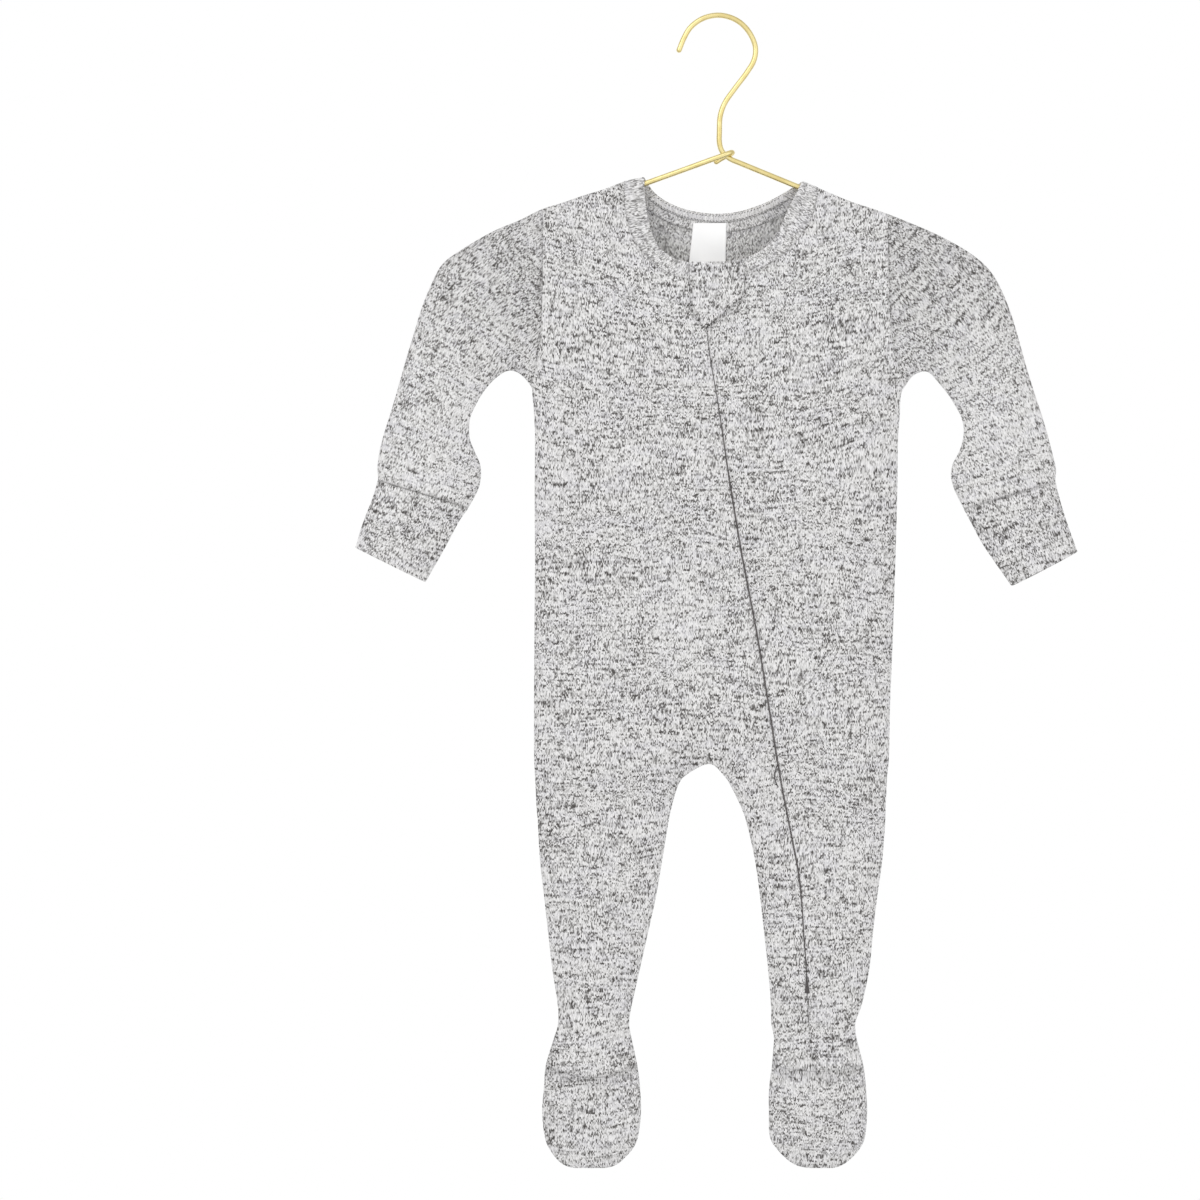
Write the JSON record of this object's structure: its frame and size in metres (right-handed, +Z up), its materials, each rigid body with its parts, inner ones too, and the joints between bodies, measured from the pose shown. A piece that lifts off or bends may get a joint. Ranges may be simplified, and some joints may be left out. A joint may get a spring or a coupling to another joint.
{
  "type": "footed baby sleeper on a wire hanger",
  "caption": "Heather grey knit footed baby sleeper with long cuffed sleeves, a round neck band, a chin guard and a slanting front zip, hanging flat on a gold wire hanger",
  "frame": {"origin": "the inside top of the hanger's hook, where the hanger rests on a rail or a wall hook, in the middle plane of the wire", "axes": "+Z is up along the hanging garment, its longest extent. -Y is its front, and Y is its shortest extent. +X is the right-hand side of somebody looking at the front"},
  "size_m": [0.4621, 0.031, 0.7393],
  "materials": {
    "grey_knit": "soft heathered jersey knit",
    "folded_knit": "heathered knit folded double",
    "neck_tape": "flat knitted tape",
    "label": "plain woven satin, unprinted",
    "zip_tape": "woven zip tape with a coil",
    "zip_metal": "dull metal",
    "zip_stop": "moulded stop",
    "gold_wire": "pale gold plated wire"
  },
  "bodies": {
    "root": {"hanger": "gold_wire", "back": "grey_knit", "front_left": "grey_knit", "front_right": "grey_knit", "sleeve_left": "grey_knit", "sleeve_right": "grey_knit", "cuff_left": "folded_knit", "cuff_right": "folded_knit", "foot_top_left": "grey_knit", "foot_top_right": "grey_knit", "sole_left": "grey_knit", "sole_right": "grey_knit", "neck_band": "folded_knit", "neck_tape": "neck_tape", "chin_guard": "grey_knit", "zip_tape": "zip_tape", "zip_slider": "zip_metal", "zip_pull": "zip_metal", "zip_stop": "zip_stop", "label": "label"}
  },
  "joints": []
}
